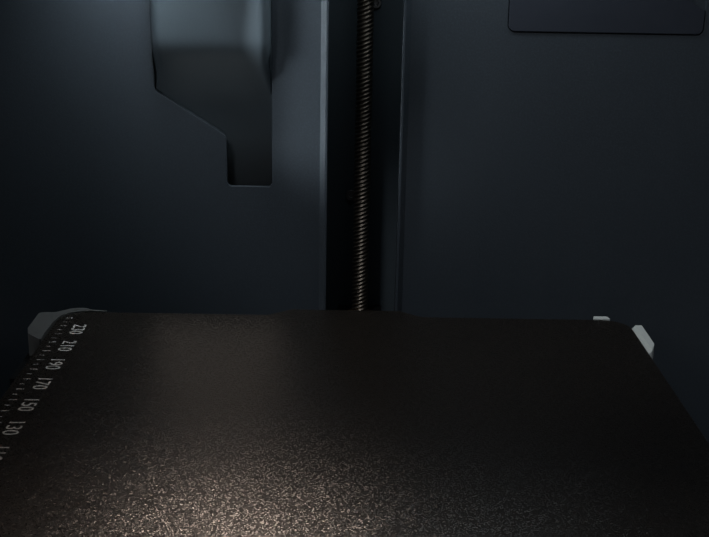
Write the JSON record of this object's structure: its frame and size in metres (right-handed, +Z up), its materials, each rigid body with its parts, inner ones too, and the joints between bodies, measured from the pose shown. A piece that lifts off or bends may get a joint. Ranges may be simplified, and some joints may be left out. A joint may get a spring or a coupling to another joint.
{
  "type": "3d printer",
  "caption": "Enclosed desktop filament 3D printer with a belt driven head in X and Y, and a heated bed that moves up and down on lead screws.",
  "frame": {"origin": "centre of the four feet, on the bench they stand on", "axes": "+Z up, -Y out through the front doorway, +X to the right seen from the front"},
  "size_m": [0.4957, 0.8351, 0.457],
  "materials": {
    "case_metal": "fine powder coat",
    "base_plastic": "fine grained",
    "foot_rubber": "matte",
    "floor_metal": "satin",
    "post_metal": "dark anodised",
    "liner_plastic": "fine grained",
    "channel_plastic": "matte",
    "chute_plastic": "fine grained",
    "filter_plastic": "fine grained",
    "screen_glass": "gloss",
    "rod_steel": "ground",
    "motor_metal": "satin",
    "belt_rubber": "matte",
    "bearing_metal": "machined",
    "supply_steel": "satin",
    "board_green": "satin",
    "inlet_plastic": "satin",
    "fan_plastic": "satin",
    "lamp_diffuser": "frosted",
    "wiper_silicone": "matte",
    "spool_plastic": "satin",
    "screw_steel": "satin",
    "hinge_metal": "dark anodised",
    "door_glass": "clear",
    "handle_metal": "anodised",
    "lid_glass": "clear",
    "gasket_plastic": "satin",
    "plate_coating": "textured powder coat",
    "bed_aluminium": "dark anodised",
    "guide_plastic": "satin",
    "carriage_metal": "dark anodised",
    "thread_steel": "threaded, lightly greased",
    "nut_brass": "turned",
    "pulley_metal": "machined",
    "carriage_plastic": "satin",
    "head_plastic": "satin",
    "hot_metal": "machined",
    "gear_steel": "hardened",
    "switch_plastic": "gloss"
  },
  "bodies": {
    "cabinet": {"base_tray": "base_plastic", "rubber_feet": "foot_rubber", "chamber_floor": "floor_metal", "corner_posts": "post_metal", "left_side_panel": "case_metal", "right_side_panel": "case_metal", "rear_panel": "case_metal", "rear_liner": "liner_plastic", "screw_channel": "channel_plastic", "purge_chute": "chute_plastic", "filter_cover": "filter_plastic", "top_frame": "case_metal", "front_bezel": "case_metal", "display_screen": "screen_glass", "linear_rods": "rod_steel", "stepper_motors": "motor_metal", "timing_belts": "belt_rubber", "screw_bearings": "bearing_metal", "power_supply": "supply_steel", "main_board": "board_green", "power_inlet": "inlet_plastic", "fan_housings": "fan_plastic", "light_bar": "lamp_diffuser", "nozzle_wiper": "wiper_silicone", "spool_holder": "spool_plastic", "panel_screws": "screw_steel", "hinge_brackets": "hinge_metal"},
    "door": {"door_glass": "door_glass", "door_handle": "handle_metal", "door_hinges": "hinge_metal"},
    "lid": {"lid_glass": "lid_glass", "lid_gasket": "gasket_plastic"},
    "bed": {"bed_carriage": "carriage_metal", "heated_bed": "bed_aluminium", "corner_guides": "guide_plastic", "lead_nuts": "nut_brass", "bed_screws": "screw_steel"},
    "plate": {"build_plate": "plate_coating"},
    "gantry": {"gantry_ends": "carriage_plastic", "x_rods": "rod_steel", "cross_belts": "belt_rubber"},
    "head": {"head_carriage": "carriage_plastic", "head_cover": "head_plastic", "hot_end": "hot_metal"},
    "lead_screw_left": {"lead_screw_left": "thread_steel"},
    "lead_screw_right": {"lead_screw_right": "thread_steel"},
    "lead_screw_rear": {"lead_screw_rear": "thread_steel"},
    "z_motor_pulley": {"z_motor_pulley": "pulley_metal"},
    "gantry_idler_left": {"gantry_idler_left": "pulley_metal"},
    "gantry_idler_right": {"gantry_idler_right": "pulley_metal"},
    "motor_pulley_left": {"motor_pulley_left": "pulley_metal"},
    "motor_pulley_right": {"motor_pulley_right": "pulley_metal"},
    "front_idler_left": {"front_idler_left": "pulley_metal"},
    "front_idler_right": {"front_idler_right": "pulley_metal"},
    "extruder_gear_drive": {"extruder_gear_drive": "gear_steel"},
    "extruder_gear_idler": {"extruder_gear_idler": "gear_steel"},
    "head_fan_rotor": {"head_fan_rotor": "fan_plastic"},
    "exhaust_fan_rotor": {"exhaust_fan_rotor": "fan_plastic"},
    "blower_rotor": {"blower_rotor": "fan_plastic"},
    "power_switch": {"power_switch": "switch_plastic"}
  },
  "joints": [
    {"name": "door_hinge", "type": "hinge", "parent": "cabinet", "child": "door", "pos_m": [0.1885, -0.2, 0.23], "axis": [0, 0, 1], "range_deg": [-105, 25]},
    {"name": "lid_lift", "type": "slide", "parent": "cabinet", "child": "lid", "axis": [0, 0, 1], "range_m": [0, 0.08]},
    {"name": "bed_lift", "type": "slide", "parent": "cabinet", "child": "bed", "axis": [0, 0, 1], "range_m": [-0.072, 0.187]},
    {"name": "plate_slide", "type": "slide", "parent": "bed", "child": "plate", "axis": [0, -1, 0], "range_m": [0, 0.34]},
    {"name": "screw_spin_left", "type": "hinge", "parent": "cabinet", "child": "lead_screw_left", "pos_m": [-0.172, 0, 0.2], "axis": [0, 0, 1], "range_deg": [-8600, 3400]},
    {"name": "screw_spin_right", "type": "hinge", "parent": "cabinet", "child": "lead_screw_right", "pos_m": [0.172, 0, 0.2], "axis": [0, 0, 1], "range_deg": [-8600, 3400]},
    {"name": "screw_spin_rear", "type": "hinge", "parent": "cabinet", "child": "lead_screw_rear", "pos_m": [0.0032, 0.172, 0.2], "axis": [0, 0, 1], "range_deg": [-8600, 3400]},
    {"name": "z_motor_spin", "type": "hinge", "parent": "cabinet", "child": "z_motor_pulley", "pos_m": [0, -0.06, 0.04], "axis": [0, 0, 1], "range_deg": [-8600, 3400]},
    {"name": "gantry_y", "type": "slide", "parent": "cabinet", "child": "gantry", "axis": [0, 1, 0], "range_m": [-0.208, 0.051]},
    {"name": "head_x", "type": "slide", "parent": "gantry", "child": "head", "axis": [1, 0, 0], "range_m": [-0.087, 0.169]},
    {"name": "gantry_idler_spin_left", "type": "hinge", "parent": "gantry", "child": "gantry_idler_left", "pos_m": [-0.1566, 0.1, 0.435], "axis": [0, 0, 1], "range_deg": [-1600, 1600]},
    {"name": "motor_spin_left", "type": "hinge", "parent": "cabinet", "child": "motor_pulley_left", "pos_m": [-0.17, 0.172, 0.435], "axis": [0, 0, 1], "range_deg": [-2000, 2000]},
    {"name": "front_idler_spin_left", "type": "hinge", "parent": "cabinet", "child": "front_idler_left", "pos_m": [-0.17, -0.176, 0.435], "axis": [0, 0, 1], "range_deg": [-2000, 2000]},
    {"name": "gantry_idler_spin_right", "type": "hinge", "parent": "gantry", "child": "gantry_idler_right", "pos_m": [0.1566, 0.1, 0.435], "axis": [0, 0, 1], "range_deg": [-1600, 1600]},
    {"name": "motor_spin_right", "type": "hinge", "parent": "cabinet", "child": "motor_pulley_right", "pos_m": [0.17, 0.172, 0.435], "axis": [0, 0, 1], "range_deg": [-2000, 2000]},
    {"name": "front_idler_spin_right", "type": "hinge", "parent": "cabinet", "child": "front_idler_right", "pos_m": [0.17, -0.176, 0.435], "axis": [0, 0, 1], "range_deg": [-2000, 2000]},
    {"name": "drive_gear_spin", "type": "hinge", "parent": "head", "child": "extruder_gear_drive", "pos_m": [-0.05107, 0.0683, 0.4142], "axis": [0, 1, 0], "continuous": true},
    {"name": "idler_gear_spin", "type": "hinge", "parent": "head", "child": "extruder_gear_idler", "pos_m": [-0.03893, 0.0683, 0.4142], "axis": [0, 1, 0], "continuous": true},
    {"name": "head_fan_spin", "type": "hinge", "parent": "head", "child": "head_fan_rotor", "pos_m": [-0.045, 0.04, 0.404], "axis": [0, 1, 0], "continuous": true},
    {"name": "exhaust_fan_spin", "type": "hinge", "parent": "cabinet", "child": "exhaust_fan_rotor", "pos_m": [0.088, 0.178, 0.34], "axis": [0, 1, 0], "continuous": true},
    {"name": "blower_spin", "type": "hinge", "parent": "cabinet", "child": "blower_rotor", "pos_m": [-0.1805, 0.096, 0.25], "axis": [1, 0, 0], "continuous": true},
    {"name": "switch_rock", "type": "hinge", "parent": "cabinet", "child": "power_switch", "pos_m": [0.143, 0.193, 0.036], "axis": [1, 0, 0], "range_deg": [-8, 8]}
  ],
  "couplings": [
    {"joint": "screw_spin_left", "follows": "bed_lift", "rad_per_m": -785.4},
    {"joint": "screw_spin_right", "follows": "bed_lift", "rad_per_m": -785.4},
    {"joint": "screw_spin_rear", "follows": "bed_lift", "rad_per_m": -785.4},
    {"joint": "z_motor_spin", "follows": "bed_lift", "rad_per_m": -785.4},
    {"joint": "gantry_idler_spin_left", "follows": "head_x", "rad_per_m": -153.85},
    {"joint": "gantry_idler_spin_right", "follows": "head_x", "rad_per_m": -153.85},
    {"joint": "motor_spin_left", "follows": "gantry_y", "rad_per_m": 153.85},
    {"joint": "motor_spin_right", "follows": "gantry_y", "rad_per_m": -153.85},
    {"joint": "front_idler_spin_left", "follows": "gantry_y", "rad_per_m": 153.85},
    {"joint": "front_idler_spin_right", "follows": "gantry_y", "rad_per_m": -153.85},
    {"joint": "idler_gear_spin", "follows": "drive_gear_spin", "ratio": -1}
  ]
}
